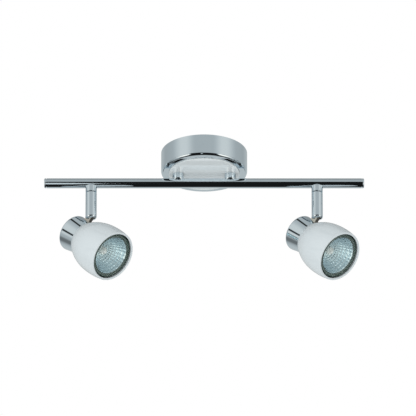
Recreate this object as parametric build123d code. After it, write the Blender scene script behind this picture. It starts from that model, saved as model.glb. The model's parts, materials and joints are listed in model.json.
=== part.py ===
from build123d import *

import os
from math import cos, radians, sin, sqrt

# Ceiling spotlight bar with two tilting heads, in millimetres.
# The origin is the middle of the ceiling face, +Z is up, the bar lies along X and the front is -Y.

# Canopy
drum_diameter = 95.5
drum_height = 24.7
drum_wall = 1.2
drum_edge_radius = 2.5
plate_diameter = 78.8
plate_thickness = 1.3
plate_edge_radius = 0.5

# Bar and its end caps
bar_length = 355.0
bar_diameter = 11.1
bar_wall = 1.0
bar_drop = 10.95
cap_length = 2.7
cap_edge_radius = 1.6
cap_groove_width = 0.6
cap_groove_depth = 0.8
cap_plug_length = 6.0
lead_hole_diameter = 5.0

# Posts between the canopy and the bar
post_spacing = 57.8
post_diameter = 12.5
stud_diameter = 8.0
stud_length = 9.0
washer_diameter = 15.0
washer_thickness = 1.0
nut_flats = 13.0
nut_height = 4.0

# Saddled ends of the posts and of the arm collars
saddle_height = 3.2
saddle_edge_radius = 1.5

# Arms and their swivels
arm_spacing = 250.6
arm_diameter = 12.5
arm_wall = 1.2
arm_flange = 2.5
collar_drop = 11.6
pivot_drop = 39.7
seam_gap = 0.9
seam_chamfer = 0.3
nipple_diameter = 8.0
nipple_head_diameter = 9.6
nipple_head_height = 1.2
swivel_washer_thickness = 0.5
arm_floor = 8.0
arm_end_drop = 4.05
arm_end_radius = 2.5

# Ceiling bracket and terminals
bracket_width = 20.0
bracket_thickness = 1.5
bracket_bend_radius = 1.35
bracket_gap = 1.65
ear_width = 14.0
ear_drop = 15.0
slot_spacing = 58.0
slot_length = 14.0
slot_width = 4.5
grub_diameter = 4.0
grub_length = 7.0
grub_depth = 10.0
grub_socket_flats = 2.0
grub_socket_depth = 1.8
block_length = 26.0
block_width = 17.0
block_height = 12.0
block_edge_radius = 0.8
block_ways = 3
block_pitch = 8.0
block_entry_diameter = 3.4
block_screw_diameter = 3.0
block_screw_inset = 4.5
earth_screw_x = -17.7
earth_screw_diameter = 4.0
earth_head_diameter = 6.6
earth_head_height = 2.6
earth_screw_length = 5.0

# Leads
lead_diameter = 2.2
lead_drop = 9.0
lead_entry_bend = 6.0
lead_bar_bend = 4.0

# Pose of the heads: turned from the front towards +X, and tilted up from straight down
head_azimuth = 53.9
head_tilt = 50.7
tilt_down = 39.5
tilt_up = 45.0

# Head: distances run along its axis, back from the mouth
axis_offset = 26.4
pivot_setback = 10.52
shade_length = 50.3
shade_wall = 1.9
mouth_play = 0.8
lip_width = 2.5
lip_rounding = 1.0
belly_swell = 1.2
belly_depth = 13.0
shoulder_swell = 0.7
shoulder_depth = 24.0
tail_radius = 19.5
tail_rounding = 0.6
shade_floor = 2.0
shade_hole_diameter = 24.0
cup_length = 20.7
cup_front_radius = 17.8
cup_rear_radius = 20.6
cup_wall = 1.3
cup_edge_radius = 2.0
pillar_diameter = 5.2
pillar_spacing = 28.4
boss_diameter = 6.0
boss_height = 2.7

# Knuckle
tongue_thickness = 4.6
tongue_width = 7.6
tongue_play = 0.25
knuckle_pin_diameter = 3.0
knuckle_pin_skin = 1.8
foot_thickness = 1.4
foot_length = 10.5
foot_angle = 30.0

# Lampholder
holder_length = 30.0
holder_width = 19.0
holder_face = 3.0
holder_cavity = 5.0
holder_screw_spacing = 22.0
holder_screw_diameter = 3.0
holder_screw_head_diameter = 5.6
holder_screw_head_height = 1.6
shade_screw_diameter = 2.4
shade_screw_head_diameter = 4.0
shade_screw_head_height = 1.3
shade_screw_length = 8.0
screw_bite = 2.2
contact_thickness = 0.6
contact_tail_width = 2.0
contact_tail_thickness = 0.8
contact_tail_length = 6.0

# Lamp
lamp_diameter = 50.0
lamp_front_depth = 2.0
lamp_rim_height = 4.5
lamp_rim_wall = 0.7
lamp_shell_step = 1.2
lamp_shell_depth = 29.0
lamp_shell_waist = 19.8
lamp_shell_waist_depth = 16.0
lamp_neck_radius = 11.5
glass_recess = 0.3
glass_thickness = 1.6
bowl_radius = 21.8
bowl_depth = 25.0
bowl_rows = 8
bowl_columns = 32
capsule_diameter = 9.0
capsule_length = 20.0
capsule_tip_radius = 4.0
capsule_socket = 3.0
base_length = 23.0
base_width = 16.0
base_edge_radius = 1.0
pin_pitch = 10.0
pin_angle = 90.0
pin_neck_diameter = 3.2
pin_neck_length = 3.4
pin_head_diameter = 5.0
pin_head_height = 2.8
lamp_twist = 22.0

# Clearances
seat = 0.05
running = 0.05
slip = 0.1
loose = 0.4

# Levels along Z
ring_z = -drum_height
plate_z = ring_z - plate_thickness
bar_z = plate_z - bar_drop
seam_z = bar_z - collar_drop
pivot_z = bar_z - pivot_drop

# Reaches worked out from the sizes above
bracket_reach = drum_diameter / 2 - drum_wall - bracket_gap
pivot_depth = shade_length + pivot_setback
lip_radius = lamp_diameter / 2 + mouth_play + lip_width
belly_radius = lip_radius + belly_swell
shoulder_radius = lip_radius + shoulder_swell
tongue_half_width = tongue_width / 2
knuckle_slot_width = tongue_thickness + 2 * tongue_play

# Directions of the head: across the ceiling, along its axis, towards the pivot, and along the tilt axis
ahead = Vector(sin(radians(head_azimuth)), -cos(radians(head_azimuth)), 0)
upward = Vector(0, 0, 1)
head_axis = ahead * sin(radians(head_tilt)) - upward * cos(radians(head_tilt))
head_side = ahead * cos(radians(head_tilt)) + upward * sin(radians(head_tilt))
tilt_axis = ahead.cross(upward)

# Sides of the bar
sides = {"left": -1, "right": 1}


def rod(diameter, top, bottom):
    """Upright round bar between two levels."""
    return Pos(0, 0, bottom) * Cylinder(
        diameter / 2, top - bottom, align=(Align.CENTER, Align.CENTER, Align.MIN)
    )


def tube(outer, inner, top, bottom):
    """Upright tube between two levels."""
    return rod(outer, top, bottom) - rod(inner, top, bottom)


def turned(outline):
    """Solid of revolution about Z from a closed outline in radius and height."""
    return revolve(Plane.XZ * outline, Axis.Z)


def slab(sketch, front, back):
    """Flat sketch given depth along the head's axis, between two distances behind the mouth."""
    return Pos(0, 0, -back) * extrude(sketch, back - front)


def barrel(diameter, front, back):
    """Round bar along the head's axis, between two distances behind the mouth."""
    return rod(diameter, -front, -back)


def pair(piece, spacing, along_y=False):
    """Two copies of a piece, set apart along X or along Y."""
    step = Pos(0, spacing / 2, 0) if along_y else Pos(spacing / 2, 0, 0)
    return step * piece + step.inverse() * piece


def bar_rod(diameter, length):
    """Round bar along X on the axis of the spotlight bar."""
    return Pos(0, 0, bar_z) * Rot(0, 90, 0) * Cylinder(diameter / 2, length)


# Canopy


def canopy_drum():
    """Pressed drum, open towards the ceiling."""
    radius = drum_diameter / 2
    outline = Pos(0, ring_z) * Rectangle(radius, drum_height, align=(Align.MIN, Align.MIN))
    corner = outline.vertices().sort_by(Axis.Y)[:2].sort_by(Axis.X)[-1]
    outline = fillet(corner, drum_edge_radius)
    inside = Pos(0, ring_z + drum_wall) * Rectangle(
        radius - drum_wall, drum_height, align=(Align.MIN, Align.MIN)
    )
    corner = inside.vertices().sort_by(Axis.Y)[:2].sort_by(Axis.X)[-1]
    inside = fillet(corner, drum_edge_radius - drum_wall)
    drum = turned(outline) - turned(inside)
    drum -= pair(rod(stud_diameter + 2 * slip, 0, plate_z), post_spacing)
    drum -= Pos(0, 0, -grub_depth) * Rot(0, 90, 0) * Cylinder(grub_diameter / 2 + slip, 2 * drum_diameter)
    return drum


def canopy_plate():
    """White plate on the drum's underside."""
    plate = rod(plate_diameter, ring_z - seat, plate_z)
    rim = plate.edges().filter_by(GeomType.CIRCLE).sort_by(Axis.Z)[0]
    plate = fillet(rim, plate_edge_radius)
    return plate - pair(rod(stud_diameter + 2 * slip, 0, plate_z), post_spacing)


def mounting_bracket():
    """Strap against the ceiling, with ears turned down inside the drum's wall."""
    down = (Align.CENTER, Align.CENTER, Align.MAX)
    strap = Box(2 * bracket_reach, bracket_width, bracket_thickness, align=down)
    ear = Box(bracket_thickness, ear_width, ear_drop, align=down)
    bracket = strap + pair(ear, 2 * bracket_reach - bracket_thickness)
    bends = bracket.edges().filter_by(Axis.Y).group_by(Axis.Z)[-1]
    bracket = fillet(bends, bracket_bend_radius)
    slot = extrude(SlotOverall(slot_length, slot_width), bracket_thickness, both=True)
    bracket -= pair(slot, slot_spacing)
    bracket -= Pos(earth_screw_x, 0, 0) * Cylinder(earth_screw_diameter / 2 + seat, 4 * bracket_thickness)
    tapped = Cylinder(grub_diameter / 2 + seat, 2 * drum_diameter)
    return bracket - Pos(0, 0, -grub_depth) * Rot(0, 90, 0) * tapped


def canopy_screws():
    """Flush grub screws at the drum's two sides."""
    grub = Cylinder(grub_diameter / 2, grub_length, align=(Align.CENTER, Align.CENTER, Align.MAX))
    socket = extrude(RegularPolygon(grub_socket_flats / 2, 6, major_radius=False), -grub_socket_depth)
    grub -= socket
    outward = Pos(drum_diameter / 2 - slip, 0, -grub_depth) * Rot(0, 90, 0) * grub
    return outward + Rot(0, 0, 180) * outward


def block_screw_places():
    """Where the terminal block's clamp screws stand."""
    across = block_width - 2 * block_screw_inset
    return GridLocations(block_pitch, across, block_ways, 2)


def terminal_block():
    """Moulded terminal block under the bracket, with a wire entry at each end of each way."""
    top = -bracket_thickness - seat
    body = Pos(0, 0, top) * Box(
        block_length, block_width, block_height, align=(Align.CENTER, Align.CENTER, Align.MAX)
    )
    body = fillet(body.edges().filter_by(Axis.Z), block_edge_radius)
    entry = Rot(90, 0, 0) * Cylinder(block_entry_diameter / 2, block_width)
    for place in GridLocations(block_pitch, 1, block_ways, 1):
        body -= Pos(0, 0, -lead_drop) * place * entry
    well = rod(block_screw_diameter + 2 * seat, -lead_drop, 2 * top - block_height)
    for place in block_screw_places():
        body -= place * well
    return body


def terminal_screws():
    """Clamp screws of the terminal block, one at each end of each way."""
    bottom = -bracket_thickness - block_height
    screw = rod(block_screw_diameter, -lead_drop - block_entry_diameter / 2, bottom)
    return Part() + [place * screw for place in block_screw_places()]


def earth_screw():
    """Earth terminal screw on the bracket."""
    head_top = -bracket_thickness - seat
    head = rod(earth_head_diameter, head_top, head_top - earth_head_height)
    shank_top = head_top - earth_head_height + earth_screw_length
    shank = rod(earth_screw_diameter, min(shank_top, -seat), head_top)
    return Pos(earth_screw_x, 0, 0) * (head + shank)


# Bar, posts and collars


def saddle_cut():
    """Space taken by the bar in the pieces that are saddled on it."""
    return bar_rod(bar_diameter + 2 * seat, 4 * post_diameter)


def bar_post():
    """Hollow post with a stud through the canopy, saddled on the bar."""
    body = rod(post_diameter, plate_z - seat, bar_z + saddle_height)
    foot = body.edges().filter_by(GeomType.CIRCLE).sort_by(Axis.Z)[0]
    body = fillet(foot, saddle_edge_radius)
    post = body + rod(stud_diameter, plate_z + stud_length, plate_z - seat)
    post -= rod(lead_hole_diameter, 0, bar_z)
    return post - saddle_cut()


def post_washers():
    """Washers inside the drum, under the posts' nuts."""
    floor = ring_z + drum_wall + seat
    washer = tube(washer_diameter, stud_diameter + 2 * slip, floor + washer_thickness, floor)
    return pair(washer, post_spacing)


def post_nuts():
    """Nuts that clamp the posts' studs."""
    floor = ring_z + drum_wall + washer_thickness + 2 * seat
    nut = Pos(0, 0, floor) * extrude(RegularPolygon(nut_flats / 2, 6, major_radius=False), nut_height)
    nut -= rod(stud_diameter + 2 * seat, 0, ring_z)
    return pair(nut, post_spacing)


def bar_tube():
    """Tube with lead holes under the posts and over the arms."""
    length = bar_length - 2 * cap_length
    bar = bar_rod(bar_diameter, length) - bar_rod(bar_diameter - 2 * bar_wall, length)
    bar -= pair(rod(lead_hole_diameter, plate_z, bar_z), post_spacing)
    return bar - pair(rod(lead_hole_diameter, bar_z, seam_z), arm_spacing)


def end_cap(side):
    """Rounded cap with a groove at its seam and a plug in the tube's end."""
    head = rod(bar_diameter, cap_length, cap_groove_width)
    rim = head.edges().filter_by(GeomType.CIRCLE).sort_by(Axis.Z)[-1]
    head = fillet(rim, cap_edge_radius)
    neck = rod(bar_diameter - 2 * cap_groove_depth, cap_groove_width, seat)
    plug = rod(bar_diameter - 2 * bar_wall - 2 * seat, seat, -cap_plug_length)
    cap = Pos(bar_length / 2 - cap_length, 0, bar_z) * Rot(0, 90, 0) * (head + neck + plug)
    return cap if side > 0 else Rot(0, 0, 180) * cap


def arm_collar():
    """Fixed collar saddled under the bar, bored for the swivel nipple."""
    body = rod(arm_diameter, bar_z - saddle_height, seam_z)
    rims = body.edges().filter_by(GeomType.CIRCLE).sort_by(Axis.Z)
    body = chamfer(rims[0], seam_chamfer)
    crown = body.edges().filter_by(GeomType.CIRCLE).sort_by(Axis.Z)[-1]
    body = fillet(crown, saddle_edge_radius)
    body -= rod(nipple_diameter + 2 * seat, bar_z, seam_z)
    return body - saddle_cut()


# Levels inside the swivel
arm_top = seam_z - seam_gap
flange_z = arm_top - arm_flange
nipple_shoulder = flange_z - swivel_washer_thickness - 2 * running
nipple_bottom = nipple_shoulder - nipple_head_height


def swivel_nipple():
    """Hollow nipple fixed in the collar, whose head carries the arm."""
    body = rod(nipple_diameter, bar_z - bar_diameter / 2 - slip, nipple_bottom)
    head = rod(nipple_head_diameter, nipple_shoulder, nipple_bottom)
    return body + head - rod(lead_hole_diameter, bar_z, nipple_bottom)


def swivel_washer():
    """Friction washer between the nipple's head and the arm's flange."""
    top = flange_z - running
    return tube(nipple_head_diameter, nipple_diameter + 2 * running, top, top - swivel_washer_thickness)


def bar_lead(side):
    """Lead from the terminal block down a post, along the bar and down through a nipple."""
    start = side * (block_length / 2 + seat)
    down = side * post_spacing / 2
    out = side * arm_spacing / 2
    route = FilletPolyline(
        (start, 0, -lead_drop),
        (down, 0, -lead_drop),
        (down, 0, bar_z),
        (out, 0, bar_z),
        (out, 0, nipple_bottom),
        radius=[lead_entry_bend, lead_bar_bend, lead_bar_bend],
    )
    section = Plane(origin=route @ 0, z_dir=route % 0) * Circle(lead_diameter / 2)
    return sweep(section, route)


# Arm, about its own upright axis at X = 0


def tongue_sweep():
    """Sketch of the space that the tongue needs about the pivot, over its whole tilt."""
    reach = arm_diameter
    half_width = tongue_half_width + loose
    first = 180 + head_tilt - tilt_down
    last = 180 + head_tilt + tilt_up
    sweep_arc = CenterArc((0, 0), reach, first, last - first)
    sector = make_face([Line((0, 0), sweep_arc @ 0), sweep_arc, Line(sweep_arc @ 1, (0, 0))])
    limit = Rectangle(reach, 2 * half_width, align=(Align.MIN, Align.CENTER))
    eye = Circle(half_width)
    return sector + eye + Rot(0, 0, first) * limit + Rot(0, 0, last) * limit


def arm_tube():
    """Tube with an inner flange at the top and a slotted, rounded lower end."""
    radius = arm_diameter / 2
    end = pivot_z - arm_end_drop
    outline = Polygon(
        (0, end),
        (0, arm_top),
        (radius - seam_chamfer, arm_top),
        (radius, arm_top - seam_chamfer),
        (radius, end),
        align=None,
    )
    corner = outline.vertices().sort_by_distance((radius, end))[0]
    outline = fillet(corner, arm_end_radius)
    arm = turned(outline)
    floor = pivot_z + arm_floor
    arm -= rod(arm_diameter - 2 * arm_wall, flange_z, floor)
    arm -= rod(nipple_diameter + 2 * running, arm_top, flange_z)
    arm -= rod(lead_diameter + 2 * slip, floor, pivot_z)
    knuckle = Plane(origin=(0, 0, pivot_z), x_dir=ahead, z_dir=tilt_axis)
    arm -= knuckle * extrude(tongue_sweep(), knuckle_slot_width / 2, both=True)
    return arm - knuckle_rod(knuckle_pin_diameter + 2 * seat, arm_diameter / 2, seat)


def knuckle_rod(diameter, back, play):
    """Rod on the tilt axis, from the back of the arm to a blind end inside its front."""
    front = arm_diameter / 2 - knuckle_pin_skin + play
    along = Plane(origin=(0, 0, pivot_z), x_dir=ahead, z_dir=tilt_axis)
    return along * rod(diameter, front, -back)


def knuckle_pin():
    """Pin across the slot, flush with the back of the arm."""
    flush = sqrt((arm_diameter / 2) ** 2 - (knuckle_pin_diameter / 2) ** 2)
    return knuckle_rod(knuckle_pin_diameter, flush, 0)


def arm_lead():
    """Lead from the nipple to the knuckle."""
    return rod(lead_diameter, nipple_bottom - slip, pivot_z + tongue_half_width + loose)


# Head, with its mouth's centre at the origin and its axis along Z


def shade_face(mouth, inset):
    """Half section of the shade's outer or inner form, from the mouth back to the tail."""
    front = ThreePointArc(
        (mouth, 0),
        (belly_radius - inset, -belly_depth),
        (shoulder_radius - inset, -shoulder_depth),
    )
    rear = TangentArc(front @ 1, (tail_radius - inset, -shade_length), tangent=front % 1)
    close = Polyline(rear @ 1, (0, -shade_length), (0, 0), front @ 0)
    return make_face([front, rear, close])


def lamp_shade():
    """Bullet-shaped shade with a rounded lip and a floor that the cup carries."""
    outline = shade_face(lip_radius, 0)
    tail = outline.vertices().sort_by_distance((tail_radius, -shade_length))[0]
    outline = fillet(tail, tail_rounding)
    hollow = shade_face(lip_radius - lip_width, shade_wall)
    floor = Pos(0, -shade_length) * Rectangle(lip_radius, shade_floor, align=(Align.MIN, Align.MIN))
    hole = Pos(0, -shade_length) * Rectangle(
        shade_hole_diameter / 2, shade_floor, align=(Align.MIN, Align.MIN)
    )
    wall = outline - (hollow - floor) - hole
    corners = wall.vertices().group_by(Axis.Y)[-1]
    wall = fillet(corners, lip_rounding)
    shade = turned(wall)
    screw_hole = barrel(shade_screw_diameter + 2 * slip, 0, shade_length)
    return shade - pair(screw_hole, pillar_spacing, along_y=True)


cup_front = shade_length + seat
cup_back = cup_front + cup_length
cup_taper = (cup_rear_radius - cup_front_radius) / cup_length
holder_back = cup_back - cup_wall - boss_height - seat


def cup_inner_radius(depth):
    """Inner radius of the cup at a distance behind the mouth."""
    return cup_front_radius + cup_taper * (depth - cup_front) - cup_wall


def lamp_cup():
    """Tapered cup with screw pillars, seats for the lampholder and a slit for the tongue."""
    outline = Polygon(
        (0, -cup_front),
        (cup_front_radius, -cup_front),
        (cup_rear_radius, -cup_back),
        (0, -cup_back),
        align=None,
    )
    rear = outline.vertices().sort_by_distance((cup_rear_radius, -cup_back))[0]
    outline = fillet(rear, cup_edge_radius)
    floor = cup_back - cup_wall
    hollow = Polygon(
        (0, -cup_front),
        (cup_inner_radius(cup_front), -cup_front),
        (cup_inner_radius(floor), -floor),
        (0, -floor),
        align=None,
    )
    rear = hollow.vertices().sort_by_distance((cup_inner_radius(floor), -floor))[0]
    hollow = fillet(rear, cup_edge_radius - cup_wall)
    body = turned(outline)
    cup = body - turned(hollow)
    pillars = pair(barrel(pillar_diameter, cup_front, floor), pillar_spacing, along_y=True)
    bosses = pair(barrel(boss_diameter, floor - boss_height, floor), holder_screw_spacing)
    cup += (pillars + bosses) & body
    shade_bite = barrel(shade_screw_diameter + 2 * seat, cup_front, cup_front + shade_screw_length)
    cup -= pair(shade_bite, pillar_spacing, along_y=True)
    holder_bite = barrel(holder_screw_diameter + 2 * seat, holder_back, holder_back + screw_bite + slip)
    cup -= pair(holder_bite, holder_screw_spacing)
    slit = Box(
        axis_offset,
        tongue_thickness + 2 * slip,
        tongue_width + 2 * slip,
        align=(Align.MIN, Align.CENTER, Align.CENTER),
    )
    return cup - Pos(cup_inner_radius(cup_front) - foot_thickness, 0, -pivot_depth) * slit


def tilt_tongue():
    """Flat tongue with an eye on the knuckle pin and a foot against the cup's inner wall."""
    pivot = Pos(axis_offset, 0, -pivot_depth)
    inner = cup_inner_radius(pivot_depth) - slip - foot_thickness / 2
    inward = (Align.MAX, Align.CENTER, Align.CENTER)
    neck = Box(axis_offset - inner, tongue_thickness, tongue_width, align=inward)
    across = pivot * Rot(90, 0, 0)
    eye = across * Cylinder(tongue_half_width, tongue_thickness)
    start = pivot_depth - foot_length / 2
    end = pivot_depth + foot_length / 2
    outer_start = cup_inner_radius(start) - slip
    outer_end = cup_inner_radius(end) - slip
    section = Polygon(
        (outer_start, -start),
        (outer_end, -end),
        (outer_end - foot_thickness, -end),
        (outer_start - foot_thickness, -start),
        align=None,
    )
    foot = Rot(0, 0, -foot_angle / 2) * revolve(Plane.XZ * section, Axis.Z, foot_angle)
    hole = across * Cylinder(knuckle_pin_diameter / 2 + running, 2 * tongue_thickness)
    return pivot * neck + eye + foot - hole


def shade_screws():
    """Screws inside the shade that hold it to the cup's pillars."""
    floor = shade_length - shade_floor - seat
    head = barrel(shade_screw_head_diameter, floor - shade_screw_head_height, floor)
    shank = barrel(shade_screw_diameter, floor, floor + shade_screw_length)
    return pair(head + shank, pillar_spacing, along_y=True)


# Lampholder and lamp, on the head's axis, with the lamp's pins set apart along Y

holder_front = shade_length + 2 * seat
lamp_back = holder_front - slip


def pin_track(width, play):
    """Sketch of the two arcs that the pins follow as the lamp twists."""
    arc = CenterArc((0, 0), pin_pitch / 2, pin_angle - play, lamp_twist + 2 * play)
    track = SlotArc(arc, width)
    return track + Rot(0, 0, 180) * track


def contact_tail_places():
    """Where the contacts' tails go through the lampholder."""
    middle = pin_angle + lamp_twist / 2
    return PolarLocations(pin_pitch / 2, 2, start_angle=middle)


def lampholder():
    """Ceramic twist-lock lampholder with keyhole slots."""
    body = slab(SlotOverall(holder_length, holder_width), holder_front, holder_back)
    neck_track = pin_track(pin_neck_diameter + 2 * loose, 0)
    head_track = pin_track(pin_head_diameter + 2 * loose, 1)
    keyholes = Sketch() + [
        place * Circle(pin_head_diameter / 2 + loose)
        for place in PolarLocations(pin_pitch / 2, 2, start_angle=pin_angle + lamp_twist)
    ]
    face_back = holder_front + holder_face
    body -= slab(neck_track + keyholes, holder_front, face_back)
    body -= slab(head_track, face_back, face_back + holder_cavity)
    tail = Rectangle(contact_tail_thickness + 2 * slip, contact_tail_width + 2 * slip)
    for place in contact_tail_places():
        body -= slab(place * tail, face_back, holder_back)
    screw_hole = barrel(holder_screw_diameter + 2 * slip, holder_front, holder_back)
    countersink = Pos(0, 0, -holder_front) * Rot(180, 0, 0) * screw_head(slip)
    return body - pair(screw_hole + countersink, holder_screw_spacing)


def screw_head(play):
    """Countersunk head, wide face at the origin, narrowing along Z."""
    return Cone(
        holder_screw_head_diameter / 2 + play,
        holder_screw_diameter / 2 + play,
        holder_screw_head_height + play,
        align=(Align.CENTER, Align.CENTER, Align.MIN),
    )


def holder_screws():
    """Countersunk screws from the lampholder into the cup's seats."""
    head = Pos(0, 0, -holder_front - seat) * Rot(180, 0, 0) * screw_head(0)
    shank = barrel(holder_screw_diameter, holder_front + holder_screw_head_height, holder_back + screw_bite)
    return pair(head + shank, holder_screw_spacing)


def holder_contacts():
    """Contact leaves behind the pins, with their tails."""
    leaf_front = lamp_back + pin_neck_length + pin_head_height + slip
    leaf_back = leaf_front + contact_thickness
    leaves = slab(pin_track(pin_neck_diameter, 0), leaf_front, leaf_back)
    tail = Rectangle(contact_tail_thickness, contact_tail_width)
    for place in contact_tail_places():
        leaves += slab(place * tail, leaf_back, leaf_back + contact_tail_length)
    return leaves


# Depths inside the lamp
glass_front = lamp_front_depth + glass_recess
glass_back = glass_front + glass_thickness
bowl_front = glass_back + seat
shell_back = lamp_front_depth + lamp_shell_depth
base_front = shell_back + seat


def bowl_row(row):
    """Radius and depth of one ring of facet corners on the bowl's paraboloid."""
    neck = capsule_diameter / 2 + loose
    radius = bowl_radius + (neck - bowl_radius) * row / bowl_rows
    depth = bowl_front + bowl_depth * (1 - (radius / bowl_radius) ** 2)
    return radius, depth


def lamp_reflector():
    """Glass reflector: round rim, curved shell outside, faceted bowl inside."""
    rim = lamp_diameter / 2
    rim_back = lamp_front_depth + lamp_rim_height
    shell = ThreePointArc(
        (rim - lamp_shell_step, -rim_back),
        (lamp_shell_waist, -lamp_front_depth - lamp_shell_waist_depth),
        (lamp_neck_radius, -shell_back),
    )
    rest = Polyline(
        shell @ 1,
        (0, -shell_back),
        (0, -lamp_front_depth),
        (rim, -lamp_front_depth),
        (rim, -rim_back),
        shell @ 0,
    )
    reflector = turned(make_face([shell, rest]))
    rings = [bowl_row(row) for row in range(bowl_rows + 1)]
    facets = [Pos(0, 0, -depth) * RegularPolygon(radius, bowl_columns) for radius, depth in rings]
    reflector -= loft(facets, ruled=True)
    reflector -= barrel(lamp_diameter - 2 * lamp_rim_wall, lamp_front_depth, bowl_front)
    return reflector - barrel(capsule_diameter + 2 * loose, bowl_front, shell_back)


def lamp_front_glass():
    """Cover glass in the reflector's rim."""
    return barrel(lamp_diameter - 2 * lamp_rim_wall - 2 * seat, glass_front, glass_back)


def lamp_capsule():
    """Halogen capsule with a domed tip, standing in the base."""
    back = base_front + capsule_socket - seat
    front = back - capsule_length
    capsule = barrel(capsule_diameter, front, back)
    tip = capsule.edges().filter_by(GeomType.CIRCLE).sort_by(Axis.Z)[-1]
    return fillet(tip, capsule_tip_radius)


def lamp_base():
    """Ceramic base behind the reflector."""
    section = Rot(0, 0, 90) * SlotOverall(base_length, base_width)
    base = slab(section, base_front, lamp_back)
    rear = base.edges().group_by(Axis.Z)[0]
    base = chamfer(rear, base_edge_radius)
    return base - barrel(capsule_diameter + 2 * slip, base_front, base_front + capsule_socket)


def lamp_pins():
    """Headed contact pins."""
    neck_back = lamp_back + seat + pin_neck_length
    neck = barrel(pin_neck_diameter, lamp_back + seat, neck_back)
    head = barrel(pin_head_diameter, neck_back, neck_back + pin_head_height)
    return pair(neck + head, pin_pitch, along_y=True)


# Assembly

root_pieces = {
    "canopy_drum": canopy_drum(),
    "canopy_plate": canopy_plate(),
    "mounting_bracket": mounting_bracket(),
    "canopy_screws": canopy_screws(),
    "terminal_block": terminal_block(),
    "terminal_screws": terminal_screws(),
    "earth_screw": earth_screw(),
    "post_washers": post_washers(),
    "post_nuts": post_nuts(),
    "bar_tube": bar_tube(),
}
upright_pieces = {
    "arm_collar": arm_collar(),
    "swivel_nipple": swivel_nipple(),
    "swivel_washer": swivel_washer(),
    "arm_tube": arm_tube(),
    "knuckle_pin": knuckle_pin(),
    "arm_lead": arm_lead(),
}
head_pieces = {
    "tilt_tongue": tilt_tongue(),
    "lamp_cup": lamp_cup(),
    "lamp_shade": lamp_shade(),
    "shade_screws": shade_screws(),
    "lampholder": lampholder(),
    "holder_screws": holder_screws(),
    "holder_contacts": holder_contacts(),
    "lamp_reflector": lamp_reflector(),
    "lamp_front_glass": lamp_front_glass(),
    "lamp_capsule": lamp_capsule(),
    "lamp_base": lamp_base(),
    "lamp_pins": lamp_pins(),
}

pieces = dict(root_pieces)
for name, side in sides.items():
    pieces[f"bar_post_{name}"] = Pos(side * post_spacing / 2, 0, 0) * bar_post()
    pieces[f"end_cap_{name}"] = end_cap(side)
    pieces[f"bar_lead_{name}"] = bar_lead(side)
    arm_x = side * arm_spacing / 2
    for node, piece in upright_pieces.items():
        pieces[f"{node}_{name}"] = Pos(arm_x, 0, 0) * piece
    mouth = Vector(arm_x, 0, pivot_z) - head_side * axis_offset + head_axis * pivot_depth
    head_frame = Plane(origin=mouth, x_dir=head_side, z_dir=head_axis)
    for node, piece in head_pieces.items():
        pieces[f"{node}_{name}"] = head_frame * piece

os.makedirs("parts", exist_ok=True)
for node, piece in pieces.items():
    export_step(piece, f"parts/{node}.step")
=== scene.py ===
# Spotlight bar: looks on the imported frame.
# Metres, +Z up, the ceiling face at z = 0, the bar along X, the front is -Y.
import json
import math

import bmesh
import bpy
from mathutils import Matrix, Vector


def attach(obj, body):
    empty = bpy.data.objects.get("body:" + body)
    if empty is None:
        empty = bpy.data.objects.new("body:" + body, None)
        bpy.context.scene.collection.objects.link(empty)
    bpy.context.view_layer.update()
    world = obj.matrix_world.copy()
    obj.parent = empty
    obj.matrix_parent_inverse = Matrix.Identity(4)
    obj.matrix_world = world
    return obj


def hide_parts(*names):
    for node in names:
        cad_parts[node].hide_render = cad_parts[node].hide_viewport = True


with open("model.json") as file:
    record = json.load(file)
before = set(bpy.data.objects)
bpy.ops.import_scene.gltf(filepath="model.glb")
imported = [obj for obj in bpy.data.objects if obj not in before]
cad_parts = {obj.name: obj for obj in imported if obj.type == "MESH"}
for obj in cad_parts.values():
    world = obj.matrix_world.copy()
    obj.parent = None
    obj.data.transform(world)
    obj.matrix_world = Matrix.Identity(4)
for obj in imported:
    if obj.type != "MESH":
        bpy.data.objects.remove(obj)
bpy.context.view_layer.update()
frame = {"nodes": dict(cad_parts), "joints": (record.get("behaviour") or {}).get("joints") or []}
nodes = frame["nodes"]
joints = {joint["name"]: joint for joint in frame["joints"]}
sides = ("left", "right")
mm = 0.001

# Photograph: a square frame, taken from below the fitting with a long lens
photo_pixels = 416
pixels_per_metre = 900
camera_elevation = math.radians(-26)
camera_distance = 12.0
camera_clip_end = 100
origin_pixel = (204.15, 153.5)
sensor_width = 36

# Light on the object: its level away from the key direction and towards it
key_direction = (-0.5, -0.6, -0.55)
soft_levels = (0.48, 1.15)

# A ray's count of bounces above this is at least one
at_least_one = 0.5

# Reflections: cool where the studio is dim, warm where it is bright
studio_tint = (0.93, 0.99, 1.0)
panel_tint = (1.0, 0.97, 0.90)
warm_from = 0.5
warm_to = 1.1

# The lamps' bowls see the studio with less contrast
bowl_studio_top = 1.2
bowl_levels = (0.62, 1.8)

# Strip light
strip_aim = (-0.2405, 0.0, -0.0368)
strip_distance = 2.5
strip_pitch = math.radians(32)
strip_size = (0.20, 1.55)
strip_radiance = 0.7

# Floor
floor_height = -13.0
floor_size = 120.0
floor_light = (0.90, 0.90, 0.90)
floor_dark = (0.86, 0.86, 0.86)
floor_cloud_scale = 0.5
floor_roughness = 0.8

# Studio that the chrome reflects, in degrees: azimuth from the front, elevation from the horizon.
# Pitch runs from the front, down and under. A band is where it rises and where it falls.
from_front = (-1, 0)
to_back = (200, 210)
wall_turn = (60, 150)
wall_levels = (0.485, 0.41)

# Bright patches: azimuth band, elevation band and added level
bright_patches = {
    "back wall": (((125, 150), to_back), ((-60, -40), (15, 40)), 0.15),
    "soft boxes": (((22, 52), (60, 98)), ((8, 12), (30, 66)), 0.22),
    "lower panels": (((34, 42), (56, 88)), ((-62, -46), (-2, 6)), 0.75),
}

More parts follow.
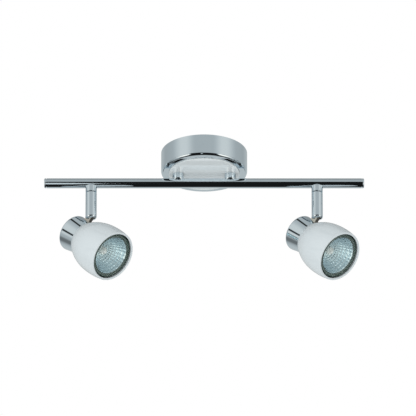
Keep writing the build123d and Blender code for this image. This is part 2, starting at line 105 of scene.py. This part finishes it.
# Dark patches: azimuth band, elevation band and depth of shade
dark_patches = {
    "gap over the boxes": ((from_front, (60, 100)), ((60, 64), (69, 73)), 0.96),
    "gap under the boxes": (((42, 50), (80, 96)), ((2, 5), (9, 12)), 0.92),
    "corners behind the panels": (((90, 104), (114, 132)), ((-46, -30), (-10, 2)), 0.6),
    "ceiling behind": (((115, 140), to_back), ((28, 42), (75, 85)), 0.2),
}

# Dark floor behind, to both sides of the middle
dark_floor_azimuth = ((84, 102), to_back)
dark_floor_elevation = ((-76, -68), (-29, -22))
dark_floor_aside = (0.10, 0.24)
dark_floor_shade = 0.9

# Dark opening at the front, where the camera stands, reaching down and under
opening_pitch = ((-16, -10), (110, 134))
opening_aside = (0.50, 0.58)
opening_shade = 0.98

# Noise in the materials: waves per metre, and the part of its range that is used
cloud_scale = 60
polish_scale = 900
wave_scale = 220
paint_cloud_scale = 40
paint_polish_scale = 700
glass_polish_scale = 300
capsule_cloud_scale = 250
capsule_patch_scale = 420
coarse_detail = 1
grain_detail = 2
cloud_detail = 3
noise_low = 0.3
noise_high = 0.7

# Coats and glass
coat_roughness = 0.03
glass_index = 1.5
cover_tint = (0.93, 0.97, 0.96)
cover_roughness = 0.02
# The capsule's milky white is a painted glint: it stands in for the bright glints of the clear quartz
# capsule
capsule_glint_light = (1.0, 0.99, 0.95)
capsule_glint_dark = (0.97, 0.97, 0.93)
capsule_roughness = (0.1, 0.3)
capsule_patch_edges = (0.42, 0.58)
capsule_clearness = 0.3

# Metals: light and dark tint, smoothest and roughest polish, depth of the surface's wave
metals = {
    "chrome": ((0.79, 0.865, 0.915), (0.75, 0.83, 0.88), 0.03, 0.06, 2e-6),
    "zinc_steel": ((0.62, 0.62, 0.60), (0.50, 0.51, 0.50), 0.28, 0.45, 1e-5),
    "nickel": ((0.66, 0.61, 0.54), (0.56, 0.51, 0.45), 0.08, 0.16, 4e-6),
    "brass": ((0.72, 0.52, 0.24), (0.62, 0.44, 0.20), 0.18, 0.32, 4e-6),
    "reflector": ((0.77, 0.845, 0.88), (0.69, 0.785, 0.83), 0.02, 0.05, 0.0),
}

# Paints and the like: light and dark tint, smoothest and roughest gloss, scale and depth of the grain, coat
paints = {
    "white_gloss": ((0.90, 0.92, 0.93), (0.88, 0.90, 0.91), 0.10, 0.16, 900, 2e-7, 1.0),
    "white_satin": ((0.80, 0.82, 0.84), (0.77, 0.80, 0.82), 0.30, 0.40, 2200, 8e-7, 0.8),
    "white_polymer": ((0.76, 0.76, 0.72), (0.70, 0.70, 0.66), 0.40, 0.55, 1500, 1e-5, 0.0),
    "ceramic": ((0.78, 0.76, 0.70), (0.70, 0.68, 0.62), 0.50, 0.70, 1800, 3e-5, 0.0),
    "lead_sleeve": ((0.62, 0.56, 0.46), (0.50, 0.44, 0.36), 0.50, 0.65, 1500, 2e-5, 0.0),
    # rim_glass: the green of thick glass, darkened to near black as painted shade of the dark cavity seen
    # through the clear rim
    "rim_glass": ((0.07, 0.11, 0.09), (0.05, 0.08, 0.068), 0.12, 0.18, 900, 2e-7, 0.0),
    "shell_glass": ((0.30, 0.36, 0.40), (0.24, 0.30, 0.34), 0.30, 0.45, 900, 5e-6, 0.0),
}

# Lamp, in millimetres, with depths behind the shade's mouth
mouth_to_pivot = 60.82
axis_to_pivot = 26.4
rim_radius = 25.0
rim_inner_radius = 24.3
rim_front = 2.0
rim_back = 6.5
bowl_radius = 21.3
bowl_neck_radius = 4.9
bowl_depth = 25.0
bowl_rows = 9
bowl_columns = 36
facet_steps = 4
facet_swell = 0.2
flange_depth = 3.95
flange_width = rim_inner_radius - bowl_radius
flange_dip = 0.9
flange_steps = 4
shell_outline = (
    (23.8, 6.5),
    (23.2, 9.0),
    (21.9, 13.0),
    (19.8, 18.0),
    (16.8, 23.5),
    (13.8, 28.0),
    (11.5, 31.0),
)
lamp_segments = 120
lamp_finishes = ("reflector", "rim_glass", "shell_glass")


# Node helpers


def add_node(tree, kind, inputs=(), **settings):
    """A node with its settings, and its inputs set to values or linked to sockets."""
    node = tree.nodes.new(kind)
    for name, value in settings.items():
        setattr(node, name, value)
    for key, value in dict(inputs).items():
        if isinstance(value, bpy.types.NodeSocket):
            tree.links.new(value, node.inputs[key])
        else:
            node.inputs[key].default_value = value
    return node


def calculate(tree, operation, first, second=0.0):
    """Output of a math node on one or two values."""
    return add_node(tree, "ShaderNodeMath", {0: first, 1: second}, operation=operation).outputs[0]


def product(tree, *factors):
    """All factors multiplied."""
    result = factors[0]
    for factor in factors[1:]:
        result = calculate(tree, "MULTIPLY", result, factor)
    return result


def stretched(tree, value, low, high, start=0.0, end=1.0, smooth=False):
    """A value between low and high, mapped to start and end."""
    node = add_node(
        tree,
        "ShaderNodeMapRange",
        {"Value": value, "From Min": low, "From Max": high, "To Min": start, "To Max": end},
        interpolation_type="SMOOTHSTEP" if smooth else "LINEAR",
    )
    return node.outputs["Result"]


def noise(tree, scale, detail=cloud_detail):
    """Noise over the object's own coordinates, between 0 and 1."""
    place = add_node(tree, "ShaderNodeTexCoord").outputs["Object"]
    texture = add_node(tree, "ShaderNodeTexNoise", {"Vector": place, "Scale": scale, "Detail": detail})
    return texture.outputs["Fac"]


def mixed(tree, factor, first, second):
    """Value between two values."""
    node = add_node(tree, "ShaderNodeMix", {"Factor": factor, "A": first, "B": second})
    return node.outputs["Result"]


def tinted(tree, factor, first, second):
    """Colour between two colours."""
    node = add_node(tree, "ShaderNodeMix", data_type="RGBA")
    tree.links.new(factor, node.inputs["Factor"])
    node.inputs["A"].default_value = (*first, 1)
    node.inputs["B"].default_value = (*second, 1)
    return node.outputs["Result"]


def bumped(tree, height, depth):
    """Normal with a relief of a given depth in metres."""
    node = add_node(tree, "ShaderNodeBump", {"Height": height, "Strength": 1, "Distance": depth})
    return node.outputs["Normal"]


def new_material(name):
    """Material, its tree and its shader."""
    material = bpy.data.materials.new(name)
    material.use_nodes = True
    tree = material.node_tree
    return material, tree, tree.nodes["Principled BSDF"]


# Materials


def polished_metal(name, light, dark, smoothest, roughest, wave):
    """Polished or plated metal: cloudy tint, uneven polish and, where given, a faint wave in the surface."""
    material, tree, shader = new_material(name)
    shader.inputs["Metallic"].default_value = 1
    tree.links.new(tinted(tree, noise(tree, cloud_scale), light, dark), shader.inputs["Base Color"])
    roughness = stretched(tree, noise(tree, polish_scale), noise_low, noise_high, smoothest, roughest)
    tree.links.new(roughness, shader.inputs["Roughness"])
    if wave:
        relief = noise(tree, wave_scale, coarse_detail)
        tree.links.new(bumped(tree, relief, wave), shader.inputs["Normal"])
    return material


def painted(name, light, dark, smoothest, roughest, grain_scale, grain_depth, coat):
    """Paint, ceramic or dull glass: cloudy tint, uneven gloss, fine grain and, where given, a coat."""
    material, tree, shader = new_material(name)
    tree.links.new(tinted(tree, noise(tree, paint_cloud_scale), light, dark), shader.inputs["Base Color"])
    roughness = stretched(tree, noise(tree, paint_polish_scale), noise_low, noise_high, smoothest, roughest)
    tree.links.new(roughness, shader.inputs["Roughness"])
    grain = noise(tree, grain_scale, grain_detail)
    tree.links.new(bumped(tree, grain, grain_depth), shader.inputs["Normal"])
    if coat:
        shader.inputs["Coat Weight"].default_value = coat
        shader.inputs["Coat Roughness"].default_value = coat_roughness
    return material


def clear_glass(name, tint, roughest):
    """Clear glass with a slightly uneven polish."""
    material, tree, shader = new_material(name)
    shader.inputs["Transmission Weight"].default_value = 1
    shader.inputs["IOR"].default_value = glass_index
    shader.inputs["Base Color"].default_value = (*tint, 1)
    roughness = stretched(tree, noise(tree, glass_polish_scale), 0, 1, 0, roughest)
    tree.links.new(roughness, shader.inputs["Roughness"])
    return material


def glint_white_glass(name, light, dark):
    """Glass painted milky white as painted glints of a clear capsule, with a glossy skin: it scatters, with
    patches that are part clear.
    """
    material, tree, shader = new_material(name)
    cloud = noise(tree, capsule_cloud_scale)
    tree.links.new(tinted(tree, cloud, light, dark), shader.inputs["Base Color"])
    roughness = stretched(tree, cloud, noise_low, noise_high, *capsule_roughness)
    tree.links.new(roughness, shader.inputs["Roughness"])
    patches = noise(tree, capsule_patch_scale, coarse_detail)
    clearness = stretched(tree, patches, *capsule_patch_edges, 0, capsule_clearness)
    tree.links.new(clearness, shader.inputs["Transmission Weight"])
    shader.inputs["Coat Weight"].default_value = 1
    return material


finishes = {name: polished_metal(name, *values) for name, values in metals.items()}
finishes.update({name: painted(name, *values) for name, values in paints.items()})
finishes["lamp_glass"] = clear_glass("lamp_glass", cover_tint, cover_roughness)
# The capsule's quartz is painted milky white, as painted glints of the clear capsule
finishes["quartz"] = glint_white_glass("quartz", capsule_glint_light, capsule_glint_dark)

for node in nodes.values():
    for slot in node.material_slots:
        finish = slot.material.name.split(".")[0]
        slot.material = finishes.get(finish, slot.material)

# Soft light passes the thin cover glasses
for side in sides:
    cover = nodes[f"lamp_front_glass_{side}"]
    cover.visible_diffuse = False
    cover.visible_shadow = False


# Lamps


def lamp_frame(side):
    """Matrix from millimetres about the shade's mouth, with the axis along Z, to the row frame."""
    tilt = joints[f"head_tilt_{side}"]
    twist = joints[f"lamp_twist_{side}"]
    axis = Vector(twist["axis"]).normalized()
    pivot = Vector(tilt["pos_m"])
    to_pivot = pivot - Vector(twist["pos_m"])
    toward_pivot = (to_pivot - axis * to_pivot.dot(axis)).normalized()
    mouth = pivot - toward_pivot * axis_to_pivot * mm + axis * mouth_to_pivot * mm
    turn = Matrix((toward_pivot, axis.cross(toward_pivot), axis)).transposed().to_4x4()
    return Matrix.Translation(mouth) @ turn @ Matrix.Scale(mm, 4)


def ring_point(radius, depth, angle):
    """Point of a turned form, at a radius, a depth behind the mouth and an angle."""
    return Vector((radius * math.cos(angle), radius * math.sin(angle), -depth))


def add_turned(mesh, outline, finish):
    """Surface of revolution through the points of an outline."""
    rings = []
    for radius, depth in outline:
        angles = [2 * math.pi * step / lamp_segments for step in range(lamp_segments)]
        rings.append([mesh.verts.new(ring_point(radius, depth, angle)) for angle in angles])
    for first, second in zip(rings, rings[1:]):
        for step in range(lamp_segments):
            after = (step + 1) % lamp_segments
            face = mesh.faces.new((first[step], first[after], second[after], second[step]))
            face.smooth = True
            face.material_index = lamp_finishes.index(finish)


def bowl_depth_at(radius):
    """Depth of the bowl's paraboloid at a radius."""
    return flange_depth + bowl_depth * (1 - (radius / bowl_radius) ** 2)


def add_facet(mesh, row, column):
    """One pillow of the bowl: a patch of the paraboloid, swollen in the middle."""
    row_height = (bowl_radius - bowl_neck_radius) / bowl_rows
    grid = []
    for along in range(facet_steps + 1):
        line = []
        for around in range(facet_steps + 1):
            share_along = along / facet_steps
            share_around = around / facet_steps
            radius = bowl_neck_radius + row_height * (row + share_along)
            angle = 2 * math.pi * (column + share_around) / bowl_columns
            swell = facet_swell * math.sin(math.pi * share_along) * math.sin(math.pi * share_around)
            line.append(mesh.verts.new(ring_point(radius - swell, bowl_depth_at(radius) - swell, angle)))
        grid.append(line)
    for along in range(facet_steps):
        for around in range(facet_steps):
            corners = (
                grid[along][around],
                grid[along][around + 1],
                grid[along + 1][around + 1],
                grid[along + 1][around],
            )
            face = mesh.faces.new(corners)
            face.smooth = True
            face.material_index = lamp_finishes.index("reflector")


def flange_outline():
    """Rim's face beside the bowl: a shallow dip from the bowl's edge to the rim's wall."""
    points = []
    for step in range(flange_steps + 1):
        share = step / flange_steps
        dip = flange_dip * (1 - (2 * share - 1) ** 2)
        points.append((bowl_radius + flange_width * share, flange_depth + dip))
    return points


def build_reflector(side):
    """Lamp body: faceted mirror bowl, glass rim painted dark as shade of the cavity behind it, and curved
    shell.
    """
    mesh = bmesh.new()
    for row in range(bowl_rows):
        for column in range(bowl_columns):
            add_facet(mesh, row, column)
    flange = flange_outline()
    # The flange and rim take rim_glass, painted dark as shade of the cavity behind the clear rim
    add_turned(mesh, flange, "rim_glass")
    rim = (
        flange[-1],
        (rim_inner_radius, rim_front),
        (rim_radius, rim_front),
        (rim_radius, rim_back),
        shell_outline[0],
    )
    for edge in zip(rim, rim[1:]):
        add_turned(mesh, edge, "rim_glass")
    add_turned(mesh, shell_outline, "shell_glass")
    shell_end = shell_outline[-1]
    neck_end = (bowl_neck_radius, shell_end[1])
    neck = (bowl_neck_radius, bowl_depth_at(bowl_neck_radius))
    add_turned(mesh, (shell_end, neck_end, neck), "shell_glass")
    bmesh.ops.recalc_face_normals(mesh, faces=mesh.faces)
    mesh.transform(lamp_frame(side))
    data = bpy.data.meshes.new(f"reflector_{side}")
    mesh.to_mesh(data)
    mesh.free()
    for name in lamp_finishes:
        data.materials.append(finishes[name])
    reflector = bpy.data.objects.new(f"reflector_{side}", data)
    bpy.context.scene.collection.objects.link(reflector)
    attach(reflector, f"lamp_{side}")
    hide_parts(f"lamp_reflector_{side}")


for side in sides:
    build_reflector(side)


# World: a pale studio


def band(tree, value, rise, fall):
    """1 between two angles, with soft edges, 0 outside them."""
    rise_start, rise_end = (math.radians(angle) for angle in rise)
    fall_start, fall_end = (math.radians(angle) for angle in fall)
    rising = stretched(tree, value, rise_start, rise_end, 0, 1, True)
    falling = stretched(tree, value, fall_start, fall_end, 1, 0, True)
    return product(tree, rising, falling)


def shaded(tree, level, dark, depth):
    """A level, lowered by a share where dark is 1."""
    return product(tree, level, stretched(tree, dark, 0, 1, 1, 1 - depth))


def build_studio(tree, direction):
    """Brightness of the studio in a direction, as the chrome shows it."""
    axes = add_node(tree, "ShaderNodeSeparateXYZ", {"Vector": direction})
    across, depth, height = axes.outputs
    aside = calculate(tree, "ABSOLUTE", across)
    ahead = product(tree, depth, -1.0)
    below = product(tree, height, -1.0)
    azimuth = calculate(tree, "ABSOLUTE", calculate(tree, "ARCTAN2", across, ahead))
    elevation = calculate(tree, "ARCSINE", height)
    pitch = calculate(tree, "ARCTAN2", below, ahead)

    # Walls, a little darker behind
    turn_start, turn_end = (math.radians(angle) for angle in wall_turn)
    level = stretched(tree, azimuth, turn_start, turn_end, *wall_levels, True)

    for azimuths, elevations, gain in bright_patches.values():
        patch = product(tree, band(tree, azimuth, *azimuths), band(tree, elevation, *elevations))
        level = calculate(tree, "ADD", level, product(tree, patch, gain))
    for azimuths, elevations, shade in dark_patches.values():
        patch = product(tree, band(tree, azimuth, *azimuths), band(tree, elevation, *elevations))
        level = shaded(tree, level, patch, shade)

    dark_floor = product(
        tree,
        stretched(tree, aside, *dark_floor_aside, 0, 1, True),
        band(tree, azimuth, *dark_floor_azimuth),
        band(tree, elevation, *dark_floor_elevation),
    )
    level = shaded(tree, level, dark_floor, dark_floor_shade)
    opening = product(
        tree,
        stretched(tree, aside, *opening_aside, 1, 0, True),
        band(tree, pitch, *opening_pitch),
    )
    return shaded(tree, level, opening, opening_shade)


def build_world():
    """White to the camera, soft light on the object, and the studio in its reflections."""
    world = bpy.data.worlds.new("studio")
    bpy.context.scene.world = world
    world.use_nodes = True
    tree = world.node_tree
    direction = add_node(tree, "ShaderNodeTexCoord").outputs["Generated"]
    studio = build_studio(tree, direction)
    key = add_node(
        tree, "ShaderNodeVectorMath", {0: direction, 1: key_direction}, operation="DOT_PRODUCT"
    )
    soft = stretched(tree, key.outputs["Value"], -1, 1, *soft_levels)

    # Kinds of ray: off a mirror, off a mirror inside a lamp, and seen directly or through glass
    rays = add_node(tree, "ShaderNodeLightPath").outputs
    mirrored = calculate(tree, "GREATER_THAN", rays["Glossy Depth"], at_least_one)
    scattered = product(tree, mirrored, rays["Is Diffuse Ray"])
    in_mirror = calculate(tree, "SUBTRACT", mirrored, scattered)
    in_bowl = product(tree, mirrored, rays["Is Transmission Ray"])
    through = calculate(tree, "MAXIMUM", rays["Is Camera Ray"], rays["Is Transmission Ray"])
    seen = calculate(tree, "SUBTRACT", through, product(tree, through, mirrored))

    softened = stretched(tree, studio, 0, bowl_studio_top, *bowl_levels)
    mirror = mixed(tree, in_bowl, studio, softened)
    level = mixed(tree, in_mirror, soft, mirror)
    level = mixed(tree, seen, level, 1.0)
    warmth = product(tree, in_mirror, stretched(tree, studio, warm_from, warm_to))
    colour = add_node(tree, "ShaderNodeMix", data_type="RGBA")
    tree.links.new(seen, colour.inputs["Factor"])
    tree.links.new(tinted(tree, warmth, studio_tint, panel_tint), colour.inputs["A"])
    colour.inputs["B"].default_value = (1, 1, 1, 1)
    background = tree.nodes["Background"]
    tree.links.new(colour.outputs["Result"], background.inputs["Color"])
    tree.links.new(level, background.inputs["Strength"])


# Stage


def build_strip_light():
    """Small soft light to the left of the camera, which shows as a wedge at the bar's left end."""
    data = bpy.data.lights.new("strip_light", "AREA")
    data.shape = "ELLIPSE"
    data.size, data.size_y = strip_size
    data.color = studio_tint
    area = math.pi * data.size * data.size_y / 4
    data.energy = strip_radiance * math.pi * area
    light = bpy.data.objects.new("strip_light", data)
    outward = Vector((0, -math.cos(strip_pitch), -math.sin(strip_pitch)))
    right = Vector((1, 0, 0))
    turn = Matrix((right, outward.cross(right), outward)).transposed().to_4x4()
    light.matrix_world = Matrix.Translation(Vector(strip_aim) + outward * strip_distance) @ turn
    light.visible_camera = False
    light.visible_diffuse = False
    light.visible_transmission = False
    bpy.context.scene.collection.objects.link(light)


def build_floor():
    """Plain pale floor far below the fitting."""
    mesh = bpy.data.meshes.new("floor")
    half = floor_size / 2
    corners = [(-half, -half), (half, -half), (half, half), (-half, half)]
    mesh.from_pydata([(x, y, floor_height) for x, y in corners], [], [(0, 1, 2, 3)])
    floor = bpy.data.objects.new("floor", mesh)
    bpy.context.scene.collection.objects.link(floor)
    material, tree, shader = new_material("floor_paint")
    tint = tinted(tree, noise(tree, floor_cloud_scale), floor_light, floor_dark)
    tree.links.new(tint, shader.inputs["Base Color"])
    shader.inputs["Roughness"].default_value = floor_roughness
    mesh.materials.append(material)
    floor.visible_diffuse = False
    floor.visible_glossy = False
    floor.visible_transmission = False


def build_camera():
    """Camera that frames the fitting as the photograph does."""
    toward = Vector((0, -math.cos(camera_elevation), math.sin(camera_elevation)))
    right = Vector((1, 0, 0))
    up = right.cross(-toward)
    middle = photo_pixels / 2
    shift_right = (middle - origin_pixel[0]) / pixels_per_metre
    shift_up = (origin_pixel[1] - middle) / pixels_per_metre
    target = right * shift_right + up * shift_up
    data = bpy.data.cameras.new("camera")
    data.sensor_width = sensor_width
    data.lens = sensor_width * camera_distance * pixels_per_metre / photo_pixels
    data.clip_end = camera_clip_end
    camera = bpy.data.objects.new("camera", data)
    turn = Matrix((right, up, toward)).transposed().to_4x4()
    camera.matrix_world = Matrix.Translation(target + toward * camera_distance) @ turn
    bpy.context.scene.collection.objects.link(camera)
    bpy.context.scene.camera = camera


build_world()
build_strip_light()
build_floor()
build_camera()
bpy.context.scene.view_settings.view_transform = "Standard"
